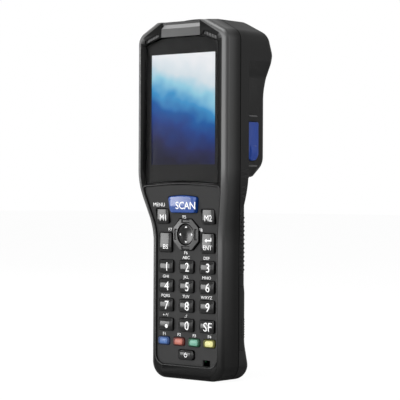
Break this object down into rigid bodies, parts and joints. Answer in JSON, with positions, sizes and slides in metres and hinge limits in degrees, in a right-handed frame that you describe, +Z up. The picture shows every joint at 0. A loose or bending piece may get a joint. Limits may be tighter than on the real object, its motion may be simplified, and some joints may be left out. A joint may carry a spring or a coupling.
{
  "type": "barcode data terminal",
  "caption": "Portable barcode data terminal with a colour display over a figure keypad, blue side triggers and a scanner in the rounded top of its back.",
  "frame": {"origin": "under the middle of the bounding box, on the plane that the terminal stands on", "axes": "+Z up the terminal from its foot to its scanning end, -Y out of the display and keys, +X towards the user's right"},
  "size_m": [0.061, 0.0413, 0.1888],
  "materials": {
    "cover_plastic": "fine-grained",
    "grip_plastic": "ribbed",
    "panel_plastic": "fine-grained",
    "window_glass": "gloss",
    "screen": "lit picture",
    "lens_plastic": "satin",
    "key_plastic": "gloss",
    "key_blue": "gloss",
    "key_pale_blue": "gloss",
    "key_red": "gloss",
    "key_green": "gloss",
    "key_yellow": "gloss",
    "trigger_blue": "satin",
    "silicone": "matt",
    "board": "solder mask",
    "polyester": "clear",
    "steel": "plated",
    "tinned": "tinned",
    "gold": "plated",
    "cell_wrap": "wrap",
    "engine_black": "matt",
    "magnesium": "cast",
    "red_window": "gloss"
  },
  "bodies": {
    "case": {"front_cover": "cover_plastic", "rear_cover": "grip_plastic", "case_seal": "silicone", "display_window": "window_glass", "window_gasket": "polyester", "lcd_panel": "screen", "display_holder": "magnesium", "indicator_lens": "lens_plastic", "slot_grilles": "panel_plastic", "keypad_panel": "panel_plastic", "key_mat": "silicone", "dome_sheet": "polyester", "key_board": "board", "main_board": "board", "shield_can": "tinned", "scan_engine": "engine_black", "engine_bracket": "steel", "scan_window": "red_window", "speaker": "engine_black", "vibration_motor": "steel", "coin_cell": "steel", "battery_pack": "cell_wrap", "battery_contacts": "engine_black", "trigger_switches": "engine_black", "trigger_pins": "steel", "dock_contacts": "gold", "case_screws": "steel"},
    "scan_key": {"scan_key": "key_blue"},
    "power_key": {"power_key": "key_plastic"},
    "key_1": {"key_1": "key_plastic"},
    "key_2": {"key_2": "key_plastic"},
    "key_3": {"key_3": "key_plastic"},
    "key_4": {"key_4": "key_plastic"},
    "key_5": {"key_5": "key_plastic"},
    "key_6": {"key_6": "key_plastic"},
    "key_7": {"key_7": "key_plastic"},
    "key_8": {"key_8": "key_plastic"},
    "key_9": {"key_9": "key_plastic"},
    "key_point": {"key_point": "key_plastic"},
    "key_0": {"key_0": "key_plastic"},
    "key_shift": {"key_shift": "key_plastic"},
    "back_space_key": {"back_space_key": "key_plastic"},
    "enter_key": {"enter_key": "key_plastic"},
    "mode_key_left": {"mode_key_left": "key_plastic"},
    "mode_key_right": {"mode_key_right": "key_plastic"},
    "function_key_1": {"function_key_1": "key_pale_blue"},
    "function_key_2": {"function_key_2": "key_red"},
    "function_key_3": {"function_key_3": "key_green"},
    "function_key_4": {"function_key_4": "key_yellow"},
    "trigger_left": {"trigger_left": "trigger_blue"},
    "trigger_right": {"trigger_right": "trigger_blue"},
    "function_ring": {"function_ring": "key_plastic"},
    "cursor_disc": {"cursor_disc": "key_plastic"},
    "function_ring_pivot": {"function_ring_pivot": "silicone"},
    "cursor_pivot": {"cursor_pivot": "silicone"},
    "battery_cover": {"battery_cover": "grip_plastic"},
    "lock_button_left": {"lock_button_left": "grip_plastic"},
    "lock_button_right": {"lock_button_right": "grip_plastic"}
  },
  "joints": [
    {"name": "battery_cover_slide", "type": "slide", "parent": "case", "child": "battery_cover", "axis": [0, 1, 0], "range_m": [0, 0.03]},
    {"name": "lock_button_right_slide", "type": "slide", "parent": "battery_cover", "child": "lock_button_right", "axis": [-1, 0, 0], "range_m": [0, 0.0006], "stiffness_N_per_m": 300, "springref_m": -0.0003},
    {"name": "lock_button_left_slide", "type": "slide", "parent": "battery_cover", "child": "lock_button_left", "axis": [1, 0, 0], "range_m": [0, 0.0006], "stiffness_N_per_m": 300, "springref_m": -0.0003},
    {"name": "trigger_right_hinge", "type": "hinge", "parent": "case", "child": "trigger_right", "pos_m": [0.0266, 0.00315, 0.1326], "axis": [0, 1, 0], "range_deg": [0, 4], "stiffness_Nm_per_rad": 0.15, "springref_deg": -2.86},
    {"name": "trigger_left_hinge", "type": "hinge", "parent": "case", "child": "trigger_left", "pos_m": [-0.0266, 0.00315, 0.1326], "axis": [0, -1, 0], "range_deg": [0, 4], "stiffness_Nm_per_rad": 0.15, "springref_deg": -2.86},
    {"name": "cursor_tilt_up_down", "type": "hinge", "parent": "case", "child": "cursor_pivot", "pos_m": [0, -0.0134, 0.07575], "axis": [1, 0, 0], "range_deg": [-2.5, 2.5], "stiffness_Nm_per_rad": 0.03},
    {"name": "cursor_tilt_left_right", "type": "hinge", "parent": "cursor_pivot", "child": "cursor_disc", "pos_m": [0, -0.0134, 0.07575], "axis": [0, 0, 1], "range_deg": [-2.5, 2.5], "stiffness_Nm_per_rad": 0.03},
    {"name": "ring_tilt_up_down", "type": "hinge", "parent": "case", "child": "function_ring_pivot", "pos_m": [0, -0.0134, 0.07575], "axis": [1, 0, 0], "range_deg": [-1.8, 1.8], "stiffness_Nm_per_rad": 0.03},
    {"name": "ring_tilt_left_right", "type": "hinge", "parent": "function_ring_pivot", "child": "function_ring", "pos_m": [0, -0.0134, 0.07575], "axis": [0, 0, 1], "range_deg": [-1.8, 1.8], "stiffness_Nm_per_rad": 0.03},
    {"name": "scan_key_press", "type": "slide", "parent": "case", "child": "scan_key", "axis": [0, 1, 0], "range_m": [0, 0.0006], "stiffness_N_per_m": 300, "springref_m": -0.0003},
    {"name": "power_key_press", "type": "slide", "parent": "case", "child": "power_key", "axis": [0, 1, 0], "range_m": [0, 0.0006], "stiffness_N_per_m": 300, "springref_m": -0.0003},
    {"name": "key_1_press", "type": "slide", "parent": "case", "child": "key_1", "axis": [0, 1, 0], "range_m": [0, 0.0006], "stiffness_N_per_m": 300, "springref_m": -0.0003},
    {"name": "key_2_press", "type": "slide", "parent": "case", "child": "key_2", "axis": [0, 1, 0], "range_m": [0, 0.0006], "stiffness_N_per_m": 300, "springref_m": -0.0003},
    {"name": "key_3_press", "type": "slide", "parent": "case", "child": "key_3", "axis": [0, 1, 0], "range_m": [0, 0.0006], "stiffness_N_per_m": 300, "springref_m": -0.0003},
    {"name": "key_4_press", "type": "slide", "parent": "case", "child": "key_4", "axis": [0, 1, 0], "range_m": [0, 0.0006], "stiffness_N_per_m": 300, "springref_m": -0.0003},
    {"name": "key_5_press", "type": "slide", "parent": "case", "child": "key_5", "axis": [0, 1, 0], "range_m": [0, 0.0006], "stiffness_N_per_m": 300, "springref_m": -0.0003},
    {"name": "key_6_press", "type": "slide", "parent": "case", "child": "key_6", "axis": [0, 1, 0], "range_m": [0, 0.0006], "stiffness_N_per_m": 300, "springref_m": -0.0003},
    {"name": "key_7_press", "type": "slide", "parent": "case", "child": "key_7", "axis": [0, 1, 0], "range_m": [0, 0.0006], "stiffness_N_per_m": 300, "springref_m": -0.0003},
    {"name": "key_8_press", "type": "slide", "parent": "case", "child": "key_8", "axis": [0, 1, 0], "range_m": [0, 0.0006], "stiffness_N_per_m": 300, "springref_m": -0.0003},
    {"name": "key_9_press", "type": "slide", "parent": "case", "child": "key_9", "axis": [0, 1, 0], "range_m": [0, 0.0006], "stiffness_N_per_m": 300, "springref_m": -0.0003},
    {"name": "key_point_press", "type": "slide", "parent": "case", "child": "key_point", "axis": [0, 1, 0], "range_m": [0, 0.0006], "stiffness_N_per_m": 300, "springref_m": -0.0003},
    {"name": "key_0_press", "type": "slide", "parent": "case", "child": "key_0", "axis": [0, 1, 0], "range_m": [0, 0.0006], "stiffness_N_per_m": 300, "springref_m": -0.0003},
    {"name": "key_shift_press", "type": "slide", "parent": "case", "child": "key_shift", "axis": [0, 1, 0], "range_m": [0, 0.0006], "stiffness_N_per_m": 300, "springref_m": -0.0003},
    {"name": "back_space_key_press", "type": "slide", "parent": "case", "child": "back_space_key", "axis": [0, 1, 0], "range_m": [0, 0.0006], "stiffness_N_per_m": 300, "springref_m": -0.0003},
    {"name": "enter_key_press", "type": "slide", "parent": "case", "child": "enter_key", "axis": [0, 1, 0], "range_m": [0, 0.0006], "stiffness_N_per_m": 300, "springref_m": -0.0003},
    {"name": "mode_key_left_press", "type": "slide", "parent": "case", "child": "mode_key_left", "axis": [0, 1, 0], "range_m": [0, 0.0006], "stiffness_N_per_m": 300, "springref_m": -0.0003},
    {"name": "mode_key_right_press", "type": "slide", "parent": "case", "child": "mode_key_right", "axis": [0, 1, 0], "range_m": [0, 0.0006], "stiffness_N_per_m": 300, "springref_m": -0.0003},
    {"name": "function_key_1_press", "type": "slide", "parent": "case", "child": "function_key_1", "axis": [0, 1, 0], "range_m": [0, 0.0006], "stiffness_N_per_m": 300, "springref_m": -0.0003},
    {"name": "function_key_2_press", "type": "slide", "parent": "case", "child": "function_key_2", "axis": [0, 1, 0], "range_m": [0, 0.0006], "stiffness_N_per_m": 300, "springref_m": -0.0003},
    {"name": "function_key_3_press", "type": "slide", "parent": "case", "child": "function_key_3", "axis": [0, 1, 0], "range_m": [0, 0.0006], "stiffness_N_per_m": 300, "springref_m": -0.0003},
    {"name": "function_key_4_press", "type": "slide", "parent": "case", "child": "function_key_4", "axis": [0, 1, 0], "range_m": [0, 0.0006], "stiffness_N_per_m": 300, "springref_m": -0.0003}
  ]
}
